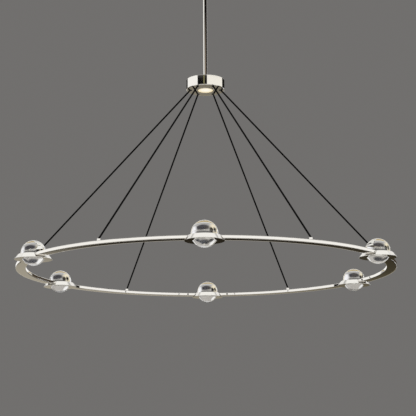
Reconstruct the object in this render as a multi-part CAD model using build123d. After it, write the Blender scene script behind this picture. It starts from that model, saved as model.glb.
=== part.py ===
from build123d import *
import math
import os

# Ring chandelier: six crystal balls sit in collars on a flat polished ring, which hangs by
# six black cables from a hub with a downlight, on a stem with a hang-straight swivel.
# Millimetres, +Z up. The origin is the middle of the ceiling bracket's upper face.

# Ring bar, a flat rectangular tube bent to a circle
ring_outer_d = 1524.0
bar_width = 40.0
bar_height = 12.0
bar_wall = 1.5
bar_end_gap = 0.2

# Crystal balls, their collars and the soft rings that they sit on
orb_count = 6
first_orb_deg = 30.0
orb_d = 95.0
orb_rise = 19.0             # ball centre above the bar's underside
collar_rim = 23.0           # collar edge beyond the ball's widest circle
collar_height = 18.3
collar_drop = 5.8           # collar underside below the bar's underside
collar_edge_lift = 0.8      # collar edge above its underside
collar_foot_inset = 0.8     # underside inside the edge
collar_top_inset = 13.5     # upper face inside the edge
seat_gap = 0.3
gasket_thickness = 1.2
gasket_height = 7.0
gasket_lift = 0.8
gasket_fit = 0.05
tongue_reach = 34.0         # tongue beyond the collar's edge, inside the bar
tongue_root = 16.0          # tongue inside the collar
tongue_fit = 0.15

# Screws that hold the bars on the tongues, one on the inner face at each bar end
joint_screw_reach = 23.5    # from the collar's edge
joint_screw_d = 4.0
joint_screw_length = 14.0
joint_screw_head_d = 7.0
joint_screw_head = 2.2
joint_screw_hex = 2.5
joint_screw_hex_depth = 1.2
head_gap = 0.05
thread_fit = 0.05

# Cables and their fittings at both ends
cable_d = 6.4
cable_drop = 758.0          # hub underside to bar top
cable_inset = 17.5          # cable entry inside the hub's outer edge
entry_rise = 3.0            # bushing's centre above the hub's underside
cable_fit = 0.05
bushing_land = 0.8          # bushing face around the cable, under the stop
bushing_fit = 0.05
stop_d = 7.6
stop_length = 8.0
stop_room = 0.3             # stop's lower corner above the hub's plate
ferrule_d = 13.0
ferrule_height = 10.5
ferrule_edge_r = 1.0
ferrule_socket = 5.0        # cable depth in the ferrule
ferrule_stud_d = 6.0
ferrule_stud_end = 0.8      # stud beyond its nut
ferrule_nut_flats = 10.0
ferrule_nut_height = 4.5

# Hub
hub_d = 158.75
hub_height = 43.0
hub_wall = 3.0
hub_bevel = 1.5
hub_edge_r = 1.0
hub_plate = 4.0
hub_plate_fit = 0.1
post_count = 3
post_first_deg = 30.0
post_d = 8.0
post_inset = 21.0           # post axis inside the hub's outer edge
hub_screw_d = 4.0
hub_screw_length = 12.0
hub_screw_head_d = 7.5
hub_screw_head = 2.4

# Downlight in the hub's underside
lens_view_d = 62.0          # lens seen inside the bezel's lip
lens_lip = 1.0
lens_thickness = 3.0
lens_fit = 0.1
bezel_sleeve = 2.0
bezel_flange = 2.5          # flange beyond the sleeve
bezel_flange_thickness = 1.2
bezel_depth = 2.0           # sleeve inside the heat sink
heatsink_rim = 3.0
heatsink_recess = 4.0
heatsink_base = 2.0
fin_slot = 3.0
fin_pitch = 6.0
board_thickness = 1.2
chip_count = 12
chip_circle_d = 40.0
chip_size = 3.0
chip_thickness = 0.7
terminal_length = 24.0
terminal_width = 14.0
terminal_height = 7.0
terminal_gap = 2.0          # under the stem's end

# Stem
stem_d = 16.0
stem_wall = 1.5
stem_length = 381.0         # swivel to hub top, 15 inches
stem_end = 1.5              # stem beyond the hub nut
stem_fit = 0.1
hub_nut_rim = 4.0
hub_nut_height = 5.0
wire_d = 4.0
wire_room = 0.6
plug_depth = 24.0
plug_fit = 0.05
neck_d = 10.0

# Hang-straight swivel
block_width = 18.0
block_height = 16.0
ear_thickness = 4.0
ear_width = 14.0
ear_gap = 0.5
pin_d = 6.0
pin_depth = 5.0             # stub pin inside the block
pin_fit = 0.02
running_fit = 0.05
swing_room = 1.0
fork_base = 10.0
yoke_base = 10.0
base_rim = 0.5
swivel_gap = 0.3
swivel_nut_flats = 15.0
swivel_nut_height = 5.0

# Canopy and ceiling bracket
canopy_d = 152.0
canopy_depth = 32.0
canopy_wall = 1.5
canopy_edge_r = 6.0
bracket_length = 120.0
bracket_width = 25.0
bracket_thickness = 3.0
bolt_spacing = 88.9         # 3.5 inch ceiling box
bolt_hole_d = 5.2
nipple_d = 10.0
nipple_bore_d = 6.4
nipple_sink = 0.5           # nipple end below the ceiling face
nipple_hole_gap = 0.3
nipple_nut_flats = 15.0
nipple_nut_height = 6.0
fork_bite_gap = 2.0         # nipple end above the fork's inner face
ring_nut_d = 32.0
ring_nut_height = 8.0
ring_nut_edge_r = 1.2
ground_screw_x = 26.0
ground_screw_d = 4.0
ground_head_d = 8.0
ground_head = 2.6
driver_length = 60.0
driver_width = 30.0
driver_height = 18.0
driver_gap = 3.0            # driver beside the bracket's edge
supply_length = 22.0
supply_width = 14.0
supply_height = 12.0
supply_gap = 4.0

# Radii and angles
bar_r = (ring_outer_d - bar_width) / 2
bar_inner_r = ring_outer_d / 2 - bar_width
orb_r = orb_d / 2
collar_r = orb_r + collar_rim
gasket_in_r = orb_r + seat_gap
gasket_out_r = gasket_in_r + gasket_thickness
seat_r = gasket_out_r + gasket_fit
hub_r = hub_d / 2
hub_inner_r = hub_r - hub_wall
cable_r = cable_d / 2
cable_bore_r = cable_r + cable_fit
cable_entry_r = hub_r - cable_inset
ferrule_r = ferrule_d / 2
stem_r = stem_d / 2
stem_inner_r = stem_r - stem_wall
wire_r = wire_d / 2
nipple_r = nipple_d / 2
neck_r = neck_d / 2
pin_r = pin_d / 2
orb_step = 360 / orb_count
orb_angles = [first_orb_deg + orb_step * i for i in range(orb_count)]
cable_angles = [angle + orb_step / 2 for angle in orb_angles]
post_angles = [post_first_deg + 360 / post_count * i for i in range(post_count)]

# Heights, from the ceiling down
ear_inner = block_width / 2 + ear_gap
ear_outer = ear_inner + ear_thickness
ear_corner = math.hypot(ear_outer, ear_width / 2)
block_corner = math.hypot(block_width / 2, block_height / 2)
swing_reach = max(ear_corner, block_corner) + swing_room
base_r = ear_corner + base_rim
z_canopy = -canopy_depth
z_fork_top = z_canopy - ring_nut_height
z_fork_low = z_fork_top - fork_base
z_pivot = z_fork_low - swing_reach
z_yoke_top = z_pivot - swing_reach - swivel_nut_height
z_yoke_low = z_yoke_top - yoke_base
z_stem_top = z_yoke_low - swivel_gap
z_hub_top = z_stem_top - stem_length
z_hub_low = z_hub_top - hub_height
z_hub_ceiling = z_hub_top - hub_wall
z_plate_top = z_hub_low + hub_plate
z_stem_low = z_hub_ceiling - hub_nut_height - stem_end
z_bar_top = z_hub_low - cable_drop
z_bar_low = z_bar_top - bar_height
z_bar_mid = z_bar_low + bar_height / 2
z_orb = z_bar_low + orb_rise
z_collar_low = z_bar_low - collar_drop
z_collar_edge = z_collar_low + collar_edge_lift
z_collar_top = z_collar_low + collar_height

# Downlight stack, from the hub's underside up
lens_r = lens_view_d / 2 + lens_lip
sleeve_in_r = lens_r + lens_fit
sleeve_r = sleeve_in_r + bezel_sleeve
heatsink_r = sleeve_r + heatsink_rim
z_board_top = z_plate_top + heatsink_recess
z_fin_low = z_board_top + heatsink_base
z_terminal_top = z_stem_low - terminal_gap
z_fin_top = z_terminal_top - terminal_height

# Each cable's straight line, in the XZ plane, from its bushing's centre to its ferrule's top
cable_start = Vector(cable_entry_r, 0, z_hub_low + entry_rise)
cable_finish = Vector(bar_r, 0, z_bar_top + ferrule_height)
cable_span = (cable_finish - cable_start).length
cable_line = Plane(origin=cable_start, z_dir=cable_finish - cable_start)
cable_lean = math.atan2(bar_r - cable_entry_r, cable_start.Z - cable_finish.Z)
stop_rise = hub_plate - entry_rise + stop_room
bushing_flat = (stop_rise + stop_d / 2 * math.sin(cable_lean)) / math.cos(cable_lean)
bushing_r = math.hypot(bushing_flat, cable_bore_r + bushing_land)

standing = (Align.CENTER, Align.CENTER, Align.MIN)


def rod(radius, z_low, z_high):
    return Pos(0, 0, z_low) * Cylinder(radius, z_high - z_low, align=standing)


def tube(outer_r, inner_r, z_low, z_high):
    return rod(outer_r, z_low, z_high) - rod(inner_r, z_low, z_high)


def block(length, width, z_low, z_high):
    return Pos(0, 0, z_low) * Box(length, width, z_high - z_low, align=standing)


def hexagon(flats, z_low, z_high):
    outline = RegularPolygon(flats / 2, 6, major_radius=False)
    return Pos(0, 0, z_low) * extrude(outline, z_high - z_low)


def hex_nut(flats, bore_r, z_low, z_high):
    return hexagon(flats, z_low, z_high) - rod(bore_r, z_low, z_high)


def turned(shape, degrees):
    return Rot(0, 0, degrees) * shape


def outward(shape):
    # Lay a shape built along +Z along +X, at the height of the bar's middle
    return Pos(0, 0, z_bar_mid) * Rot(0, 90, 0) * shape


def along_cable(shape):
    return cable_line * shape


def circles(shape):
    return shape.edges().filter_by(GeomType.CIRCLE).sort_by(Axis.Z)


def at_ball(shape):
    return Pos(bar_r, 0, 0) * shape


def collar_blank(room):
    # Two cones that meet at the collar's edge, with room around them for the bar ends
    foot_r = collar_r - collar_foot_inset + room
    edge_r = collar_r + room
    top_r = collar_r - collar_top_inset + room
    foot = Pos(0, 0, z_collar_low) * Cone(foot_r, edge_r, z_collar_edge - z_collar_low, align=standing)
    flank = Pos(0, 0, z_collar_edge) * Cone(edge_r, top_r, z_collar_top - z_collar_edge, align=standing)
    return foot + flank


def chord_degrees(chord):
    return math.degrees(2 * math.asin(chord / 2 / bar_r))


screw_degrees = chord_degrees(collar_r + joint_screw_reach)
tongue_degrees = chord_degrees(collar_r + tongue_reach)


def ring_bar():
    hollow = Rectangle(bar_width - 2 * bar_wall, bar_height - 2 * bar_wall)
    section = Rectangle(bar_width, bar_height) - hollow
    bar = revolve(Plane.XZ * Pos(bar_r, z_bar_mid) * section, Axis.Z, orb_step)
    end_cut = at_ball(collar_blank(bar_end_gap))
    bar = bar - end_cut - turned(end_cut, orb_step)
    stud_hole = at_ball(rod(ferrule_stud_d / 2 + thread_fit, z_bar_mid, z_bar_top))
    bar = bar - turned(stud_hole, orb_step / 2)
    screw_hole = outward(rod(joint_screw_d / 2 + thread_fit, bar_inner_r - bar_wall, bar_r))
    return bar - turned(screw_hole, screw_degrees) - turned(screw_hole, orb_step - screw_degrees)


def collar():
    tongue_width = bar_width - 2 * (bar_wall + tongue_fit)
    tongue_height = bar_height - 2 * (bar_wall + tongue_fit)
    section = Plane.XZ * Pos(bar_r, z_bar_mid) * Rectangle(tongue_width, tongue_height)
    tongue = turned(revolve(section, Axis.Z, 2 * tongue_degrees), -tongue_degrees)
    tongue = tongue - at_ball(rod(collar_r - tongue_root, z_bar_low, z_bar_top))
    # The seat follows the ball below its middle and is straight above it, so the ball lifts out
    seat = Pos(0, 0, z_orb) * Sphere(seat_r) + rod(seat_r, z_orb, z_orb + orb_d)
    whole = at_ball(collar_blank(0)) + tongue - at_ball(seat)
    tapped = outward(rod(joint_screw_d / 2 + thread_fit, bar_inner_r, bar_r + bar_width / 2))
    return whole - turned(tapped, screw_degrees) - turned(tapped, -screw_degrees)


def seat_gasket():
    shell = Sphere(gasket_out_r) - Sphere(gasket_in_r)
    z_low = z_collar_low + gasket_lift
    return at_ball(Pos(0, 0, z_orb) * shell & rod(gasket_out_r, z_low, z_low + gasket_height))


def orb():
    return at_ball(Pos(0, 0, z_orb) * Sphere(orb_r))


def joint_screw():
    under_head = bar_inner_r - head_gap
    top = under_head - joint_screw_head
    head = rod(joint_screw_head_d / 2, top, under_head)
    socket = hexagon(joint_screw_hex, top, top + joint_screw_hex_depth)
    shank = rod(joint_screw_d / 2, under_head, under_head + joint_screw_length)
    return outward(head + shank - socket)


def cable():
    return along_cable(rod(cable_r, -bushing_flat - stop_length, cable_span + ferrule_socket))


def cable_stop():
    return along_cable(tube(stop_d / 2, cable_bore_r, -bushing_flat - stop_length, -bushing_flat))


def cable_bushing():
    ball = Sphere(bushing_r) - rod(bushing_r, -2 * bushing_r, -bushing_flat)
    return along_cable(ball - rod(cable_bore_r, -2 * bushing_r, 2 * bushing_r))


def ferrule():
    cap = rod(ferrule_r, z_bar_top, z_bar_top + ferrule_height)
    cap = fillet(circles(cap)[-1], ferrule_edge_r)
    stud_low = z_bar_top - bar_wall - ferrule_nut_height - ferrule_stud_end
    cap = cap + rod(ferrule_stud_d / 2, stud_low, z_bar_top)
    socket = along_cable(rod(cable_bore_r, cable_span - ferrule_d, cable_span + ferrule_socket))
    return at_ball(cap) - socket


def ferrule_nut():
    z_high = z_bar_top - bar_wall
    bore_r = ferrule_stud_d / 2 + thread_fit
    return at_ball(hex_nut(ferrule_nut_flats, bore_r, z_high - ferrule_nut_height, z_high))


def post_place(shape, degrees):
    return turned(Pos(hub_r - post_inset, 0, 0) * shape, degrees)


def hub_shell():
    drum = rod(hub_r, z_hub_low, z_hub_top)
    drum = chamfer(circles(drum)[0], hub_bevel)
    drum = fillet(circles(drum)[-1], hub_edge_r)
    drum = drum - rod(hub_inner_r, z_hub_low, z_hub_ceiling)
    drum = drum - rod(stem_r + stem_fit, z_hub_ceiling, z_hub_top)
    for angle in post_angles:
        drum = drum - post_place(rod(hub_screw_d / 2 + thread_fit, z_hub_ceiling, z_hub_top), angle)
    return drum


def hub_bottom_plate():
    plate = tube(hub_inner_r - hub_plate_fit, sleeve_r + lens_fit, z_hub_low, z_plate_top)
    seat = along_cable(Sphere(bushing_r + bushing_fit) + rod(cable_bore_r, 0, 2 * bushing_r))
    for angle in cable_angles:
        plate = plate - turned(seat, angle)
    return plate


def hub_post():
    post = rod(post_d / 2, z_plate_top, z_hub_ceiling)
    tapped = rod(hub_screw_d / 2 + thread_fit, z_hub_top - hub_screw_length, z_hub_ceiling)
    return post - tapped


def hub_screw():
    head = rod(hub_screw_head_d / 2, z_hub_top, z_hub_top + hub_screw_head)
    return head + rod(hub_screw_d / 2, z_hub_top - hub_screw_length, z_hub_top)


def downlight_bezel():
    z_flange = z_hub_low - bezel_flange_thickness
    flange = tube(sleeve_r + bezel_flange, lens_view_d / 2, z_flange, z_hub_low)
    return flange + tube(sleeve_r, sleeve_in_r, z_hub_low, z_plate_top + bezel_depth)


def downlight_lens():
    return rod(lens_r, z_hub_low, z_hub_low + lens_thickness)


def downlight_heatsink():
    body = rod(heatsink_r, z_plate_top, z_fin_top)
    body = body - rod(sleeve_r + lens_fit, z_plate_top, z_board_top)
    slots = int(heatsink_r / fin_pitch)
    for i in range(-slots, slots + 1):
        body = body - Pos(i * fin_pitch, 0, 0) * block(fin_slot, 2 * heatsink_r, z_fin_low, z_fin_top)
    return body


def downlight_board():
    return rod(sleeve_r - lens_fit, z_board_top - board_thickness, z_board_top)


def light_chips():
    z_high = z_board_top - board_thickness
    chip = Pos(chip_circle_d / 2, 0, 0) * block(chip_size, chip_size, z_high - chip_thickness, z_high)
    return [turned(chip, 360 / chip_count * i) for i in range(chip_count)]


def hub_terminal():
    return block(terminal_length, terminal_width, z_fin_top, z_terminal_top)


def hub_nut():
    flats = stem_d + 2 * hub_nut_rim
    return hex_nut(flats, stem_r + thread_fit, z_hub_ceiling - hub_nut_height, z_hub_ceiling)


def stem_tube():
    return tube(stem_r, stem_inner_r, z_stem_low, z_stem_top)


def stem_plug():
    body = rod(stem_inner_r - plug_fit, z_stem_top - plug_depth, z_stem_top)
    neck = rod(neck_r, z_stem_top, z_yoke_top + swivel_nut_height)
    bore = rod(wire_r + wire_room, z_stem_top - plug_depth, z_yoke_top + swivel_nut_height)
    return body + neck - bore


def stem_wire():
    return rod(wire_r, z_terminal_top, z_yoke_top)


def swivel_nut():
    return hex_nut(swivel_nut_flats, neck_r + thread_fit, z_yoke_top, z_yoke_top + swivel_nut_height)


def ear_pair(z_root):
    # Two ears across X, from a base at z_root to a round end about the pivot
    ear_low = min(z_root, z_pivot)
    ear_high = max(z_root, z_pivot)
    ears = block(2 * ear_outer, ear_width, ear_low, ear_high)
    ears = ears + Pos(0, 0, z_pivot) * Rot(0, 90, 0) * Cylinder(ear_width / 2, 2 * ear_outer)
    gap_low = min(z_root, z_pivot - ear_width)
    gap_high = max(z_root, z_pivot + ear_width)
    ears = ears - block(2 * ear_inner, 2 * ear_outer, gap_low, gap_high)
    return ears - Pos(0, 0, z_pivot) * Rot(0, 90, 0) * Cylinder(pin_r + running_fit, 4 * ear_outer)


def swivel_fork():
    base = tube(base_r, nipple_r + thread_fit, z_fork_low, z_fork_top)
    return base + ear_pair(z_fork_low)


def swivel_yoke():
    base = tube(base_r, neck_r + running_fit, z_yoke_low, z_yoke_top)
    return base + turned(ear_pair(z_yoke_top), 90)


def stub_pins():
    pin = Pos(block_width / 2 - pin_depth, 0, z_pivot) * Rot(0, 90, 0)
    pin = pin * Cylinder(pin_r, pin_depth + ear_gap + ear_thickness, align=standing)
    return [pin, turned(pin, 180)]


def swivel_block():
    whole = Pos(0, 0, z_pivot) * Box(block_width, block_width, block_height)
    whole = whole - rod(wire_r + wire_room, z_pivot - block_height, z_pivot + block_height)
    hole = Pos(block_width / 2 - pin_depth, 0, z_pivot) * Rot(0, 90, 0)
    hole = hole * Cylinder(pin_r + pin_fit, pin_depth, align=standing)
    for quarter in range(4):
        whole = whole - turned(hole, 90 * quarter)
    return whole


def ceiling_bracket():
    strap = block(bracket_length, bracket_width, -bracket_thickness, 0)
    strap = strap - rod(nipple_r + thread_fit, -bracket_thickness, 0)
    for side in (-1, 1):
        strap = strap - Pos(side * bolt_spacing / 2, 0, 0) * rod(bolt_hole_d / 2, -bracket_thickness, 0)
    return strap - Pos(ground_screw_x, 0, 0) * rod(ground_screw_d / 2 + thread_fit, -bracket_thickness, 0)


def threaded_nipple():
    return tube(nipple_r, nipple_bore_d / 2, z_fork_low + fork_bite_gap, -nipple_sink)


def nipple_nut():
    z_high = -bracket_thickness
    return hex_nut(nipple_nut_flats, nipple_r + thread_fit, z_high - nipple_nut_height, z_high)


def ground_screw():
    head = rod(ground_head_d / 2, -bracket_thickness - ground_head, -bracket_thickness)
    return Pos(ground_screw_x, 0, 0) * (head + rod(ground_screw_d / 2, -bracket_thickness, -nipple_sink))


def canopy_cover():
    cup = rod(canopy_d / 2, z_canopy, 0)
    cup = fillet(circles(cup)[0], canopy_edge_r)
    room = rod(canopy_d / 2 - canopy_wall, z_canopy + canopy_wall, 0)
    room = fillet(circles(room)[0], canopy_edge_r - canopy_wall)
    return cup - room - rod(nipple_r + nipple_hole_gap, z_canopy, z_canopy + canopy_wall)


def canopy_ring_nut():
    ring = tube(ring_nut_d / 2, nipple_r + thread_fit, z_fork_top, z_canopy)
    return fillet(circles(ring).filter_by(lambda edge: edge.radius > nipple_d), ring_nut_edge_r)


z_canopy_floor = z_canopy + canopy_wall
driver_y = (bracket_width + driver_width) / 2 + driver_gap
supply_x = (driver_length + supply_length) / 2 + supply_gap
supply_y = (bracket_width + supply_width) / 2 + driver_gap


def led_driver():
    case = block(driver_length, driver_width, z_canopy_floor, z_canopy_floor + driver_height)
    return Pos(0, driver_y, 0) * case


def supply_terminal():
    whole = block(supply_length, supply_width, z_canopy_floor, z_canopy_floor + supply_height)
    return Pos(supply_x, supply_y, 0) * whole


def all_around(shape, angles):
    return [turned(shape, angle) for angle in angles]


nodes = {
    "ceiling_bracket": ceiling_bracket(),
    "threaded_nipple": threaded_nipple(),
    "nipple_nut": nipple_nut(),
    "ground_screw": ground_screw(),
    "led_driver": led_driver(),
    "supply_terminal": supply_terminal(),
    "canopy_cover": canopy_cover(),
    "canopy_ring_nut": canopy_ring_nut(),
    "swivel_fork": swivel_fork(),
    "swivel_block": swivel_block(),
    "upper_pins": Compound(stub_pins()),
    "lower_pins": Compound(all_around(stub_pins()[0], [90, 270])),
    "swivel_yoke": swivel_yoke(),
    "swivel_nut": swivel_nut(),
    "stem_plug": stem_plug(),
    "stem_tube": stem_tube(),
    "stem_wire": stem_wire(),
    "hub_nut": hub_nut(),
    "hub_shell": hub_shell(),
    "hub_bottom_plate": hub_bottom_plate(),
    "hub_posts": Compound([post_place(hub_post(), angle) for angle in post_angles]),
    "hub_screws": Compound([post_place(hub_screw(), angle) for angle in post_angles]),
    "hub_terminal": hub_terminal(),
    "downlight_bezel": downlight_bezel(),
    "downlight_lens": downlight_lens(),
    "downlight_board": downlight_board(),
    "downlight_heatsink": downlight_heatsink(),
    "light_chips": Compound(light_chips()),
    "cable_bushings": Compound(all_around(cable_bushing(), cable_angles)),
    "cable_stops": Compound(all_around(cable_stop(), cable_angles)),
    "cable_ferrules": Compound(all_around(ferrule(), cable_angles)),
    "ferrule_nuts": Compound(all_around(ferrule_nut(), cable_angles)),
    "seat_gaskets": Compound(all_around(seat_gasket(), orb_angles)),
}

screw_angles = [angle - screw_degrees for angle in orb_angles]
screw_angles += [angle + screw_degrees for angle in orb_angles]
nodes["joint_screws"] = Compound(all_around(joint_screw(), screw_angles))

repeated = {"orb": (orb(), orb_angles), "collar": (collar(), orb_angles),
            "ring_bar": (ring_bar(), orb_angles), "cable": (cable(), cable_angles)}
for name, (shape, angles) in repeated.items():
    for number, angle in enumerate(angles, start=1):
        nodes[f"{name}_{number}"] = turned(shape, angle)

os.makedirs("parts", exist_ok=True)
for name, shape in nodes.items():
    export_step(shape, f"parts/{name}.step")

print(f"cable length {cable_span + ferrule_socket + bushing_flat + stop_length:.1f}")
print(f"pivot {z_pivot:.2f}, ball centre {z_orb:.2f}")
print(f"hub underside {z_hub_low:.2f}, bar underside {z_bar_low:.2f}")
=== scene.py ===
import bpy
import bmesh
import math
from mathutils import Matrix, Vector


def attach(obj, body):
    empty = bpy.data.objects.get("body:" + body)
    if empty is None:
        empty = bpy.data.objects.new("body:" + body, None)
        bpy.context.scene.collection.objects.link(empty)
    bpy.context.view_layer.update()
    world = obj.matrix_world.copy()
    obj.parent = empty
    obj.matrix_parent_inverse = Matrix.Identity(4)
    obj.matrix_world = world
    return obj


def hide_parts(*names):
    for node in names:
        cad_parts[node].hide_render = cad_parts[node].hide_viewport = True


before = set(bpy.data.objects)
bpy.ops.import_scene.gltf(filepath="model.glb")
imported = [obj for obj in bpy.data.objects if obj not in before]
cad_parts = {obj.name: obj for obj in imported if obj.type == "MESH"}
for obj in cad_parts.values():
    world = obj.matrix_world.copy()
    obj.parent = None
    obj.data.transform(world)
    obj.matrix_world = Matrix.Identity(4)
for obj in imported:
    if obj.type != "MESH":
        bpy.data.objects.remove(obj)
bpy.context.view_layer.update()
print("frame loaded,", len(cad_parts), "nodes")

mm = 0.001
fullTurn = 2 * math.pi
crease, allSmooth = 28, 180  # edges sharper than this many degrees stay sharp in the shading

# heights of the CAD frame in millimetres, ceiling face at zero
level = {
    "canopyLow": -32.0, "forkTop": -40.0, "forkLow": -50.0, "pivot": -66.207,
    "yokeTop": -87.41, "yokeLow": -97.41, "stemTop": -97.71, "stemLow": -488.21,
    "hubTop": -478.71, "hubLow": -521.71, "barTop": -1279.71, "barLow": -1291.71,
    "ball": -1272.71, "collarLow": -1297.51, "collarEdge": -1296.71, "collarTop": -1279.21,
}
ring = {"radius": 742.0, "firstBall": 30.0, "step": 60.0, "count": 6}
ballAngles = [ring["firstBall"] + ring["step"] * i for i in range(ring["count"])]
cableAngles = [angle + ring["step"] / 2 for angle in ballAngles]


def turned(degrees, axis="Z"):
    return Matrix.Rotation(math.radians(degrees), 4, axis)


def shift(x, y, z):
    return Matrix.Translation(Vector((x, y, z)) * mm)


def inScene(name, data):
    thing = bpy.data.objects.new(name, data)
    bpy.context.scene.collection.objects.link(thing)
    return thing


# camera of the photograph, millimetres and degrees
photoView = {"lens": 97.53, "sensor": 36.0, "place": (32.9, -4520.7, -1981.9), "yaw": 0.313, "pitch": 11.937,
             "roll": 0.284}


def makeCamera(s):
    lens = bpy.data.cameras.new("photoCamera")
    lens.lens, lens.sensor_width = s["lens"], s["sensor"]
    camera = inScene("photoCamera", lens)
    tilt = turned(s["yaw"]) @ turned(90 + s["pitch"], "X") @ turned(-s["roll"])
    camera.matrix_world = shift(*s["place"]) @ tilt
    bpy.context.scene.camera = camera
    bpy.context.scene.view_settings.view_transform = "Standard"


makeCamera(photoView)
print("camera set")


# small tools for node trees: a value is a number, a colour or another node's output
def fill(node, inputs):
    for key, value in inputs.items():
        socket = node.inputs[key]
        if isinstance(value, bpy.types.NodeSocket):
            node.id_data.links.new(value, socket)
        else:
            socket.default_value = (*value, 1) if socket.type == "RGBA" else value


def addNode(tree, kind, inputs=None, **settings):
    node = tree.nodes.new(kind)
    for key, value in settings.items():
        setattr(node, key, value)
    fill(node, inputs or {})
    return node.outputs


def geo(tree, kind, inputs=None, **settings):
    return addNode(tree, "GeometryNode" + kind, inputs, **settings)[0]


def calc(operation, *terms):
    tree = next(term.id_data for term in terms if isinstance(term, bpy.types.NodeSocket))
    return addNode(tree, "ShaderNodeMath", dict(enumerate(terms)), operation=operation)[0]


def plus(first, *others):
    for other in others:
        first = calc("ADD", first, other)
    return first


def times(first, *others):
    for other in others:
        first = calc("MULTIPLY", first, other)
    return first


def vecCalc(operation, *terms, output="Vector", **named):
    inputs = {**dict(enumerate(terms)), **named}
    return addNode(terms[0].id_data, "ShaderNodeVectorMath", inputs, operation=operation)[output]


def scaled(vector, factor):
    return vecCalc("SCALE", vector, Scale=factor)


def split(vector):
    return addNode(vector.id_data, "ShaderNodeSeparateXYZ", {0: vector})


def spread(value, low, high, fromLow=0.3, fromHigh=0.7):
    inputs = {"Value": value, "From Min": fromLow, "From Max": fromHigh, "To Min": low, "To Max": high}
    return addNode(value.id_data, "ShaderNodeMapRange", inputs, clamp=True)["Result"]


def tint(value, low, high):
    return addNode(value.id_data, "ShaderNodeMix", {0: value, 6: low, 7: high}, data_type="RGBA")[2]


def noise(vector, scale, detail=3.0, rough=0.55):
    inputs = {"Vector": vector, "Scale": scale, "Detail": detail, "Roughness": rough}
    return addNode(vector.id_data, "ShaderNodeTexNoise", inputs)["Fac"]


def mapped(vector, scale):
    return addNode(vector.id_data, "ShaderNodeMapping", {"Vector": vector, "Scale": scale})["Vector"]


def bump(height, strength, distance):
    inputs = {"Height": height, "Strength": strength, "Distance": distance}
    return addNode(height.id_data, "ShaderNodeBump", inputs)["Normal"]


finishes = {}


def newFinish(name):
    material = finishes[name] = bpy.data.materials.new(name)
    material.use_nodes = True
    tree = material.node_tree
    return tree.nodes["Principled BSDF"], addNode(tree, "ShaderNodeTexCoord")["Object"]


def marksUv(shader):
    return addNode(shader.id_data, "ShaderNodeUVMap", uv_map="marks")["UV"]


# in the finishes a noise is scale, detail and roughness, and relief is strength and depth in metres
# plain finishes: two tones, grain, roughness range, relief and metal
plainFinishes = {
    "entryNylon": ((0.010, 0.010, 0.011), (0.022, 0.022, 0.023), 1800.0, (0.38, 0.58), (0.35, 0.00005), 0.0),
    "blackedSteel": ((0.035, 0.032, 0.030), (0.075, 0.070, 0.064), 900.0, (0.28, 0.50), (0.2, 0.00003), 1.0),
    "platedSteel": ((0.52, 0.53, 0.54), (0.68, 0.67, 0.64), 140.0, (0.24, 0.46), (0.15, 0.00005), 1.0),
    "greenBrass": ((0.03, 0.20, 0.07), (0.06, 0.30, 0.11), 500.0, (0.25, 0.45), (0.2, 0.00005), 0.6),
    "driverCase": ((0.70, 0.70, 0.68), (0.78, 0.78, 0.76), 1500.0, (0.42, 0.62), (0.4, 0.00006), 0.0),
    "sinkAluminium": ((0.60, 0.61, 0.62), (0.74, 0.74, 0.75), 400.0, (0.30, 0.5), (0.2, 0.00004), 1.0),
    "boardWhite": ((0.74, 0.75, 0.74), (0.82, 0.82, 0.81), 600.0, (0.35, 0.55), (0.1, 0.00003), 0.0),
    "chipYellow": ((0.80, 0.58, 0.10), (0.88, 0.68, 0.18), 2000.0, (0.3, 0.5), (0.2, 0.00003), 0.0),
    "wireJacket": ((0.05, 0.05, 0.05), (0.09, 0.09, 0.088), 800.0, (0.45, 0.65), (0.2, 0.00004), 0.0),
}
plainGrain, plainCloud = (4.0, 0.6), 0.06  # the clouds' scale is a share of the grain's


def makePlain(name, low, high, grain, rough, relief, metal):
    shader, where = newFinish(name)
    fine, cloud = noise(where, grain, *plainGrain), noise(where, grain * plainCloud)
    mixed = plus(times(fine, 0.5), times(cloud, 0.5))
    fill(shader, {"Base Color": tint(spread(mixed, 0.0, 1.0), low, high), "Roughness": spread(mixed, *rough),
                  "Normal": bump(fine, *relief), "Metallic": metal})


# polished nickel: long fine buffing marks, faint haze and handling smudges
nickel = {"tones": ((0.92, 0.905, 0.875), (0.89, 0.87, 0.83)), "haze": (3.2, 2.0), "smudge": (14.0, 4.0, 0.6),
          "markSize": (25.0, 2600.0, 1.0), "marks": (1.0, 4.0, 0.65), "shares": (0.55, 0.45),
          "rough": (0.018, 0.05), "roughFrom": (0.38, 0.66), "relief": (0.02, 0.00002)}


def makeNickel(s):
    shader, where = newFinish("polishedNickel")
    marks = noise(mapped(marksUv(shader), s["markSize"]), *s["marks"])
    both = plus(times(marks, s["shares"][0]), times(noise(where, *s["smudge"]), s["shares"][1]))
    fill(shader, {"Base Color": tint(noise(where, *s["haze"]), *s["tones"]), "Metallic": 1.0,
                  "Roughness": spread(both, *s["rough"], *s["roughFrom"]),
                  "Normal": bump(marks, *s["relief"])})


# clear crystal: polished glass with a breath of surface haze
crystal = {"tones": ((0.985, 0.99, 0.985), (0.955, 0.965, 0.955)), "veil": (22.0, 5.0, 0.6), "ior": 1.52,
           "ripple": (60.0, 1.0), "rough": (0.0, 0.006), "roughFrom": (0.45, 0.75), "relief": (0.006, 0.0001)}


def makeCrystal(s):
    shader, where = newFinish("clearCrystal")
    veil = noise(where, *s["veil"])
    fill(shader, {"Base Color": tint(veil, *s["tones"]), "Transmission Weight": 1.0, "IOR": s["ior"],
                  "Roughness": spread(veil, *s["rough"], *s["roughFrom"]),
                  "Normal": bump(noise(where, *s["ripple"]), *s["relief"])})


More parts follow.
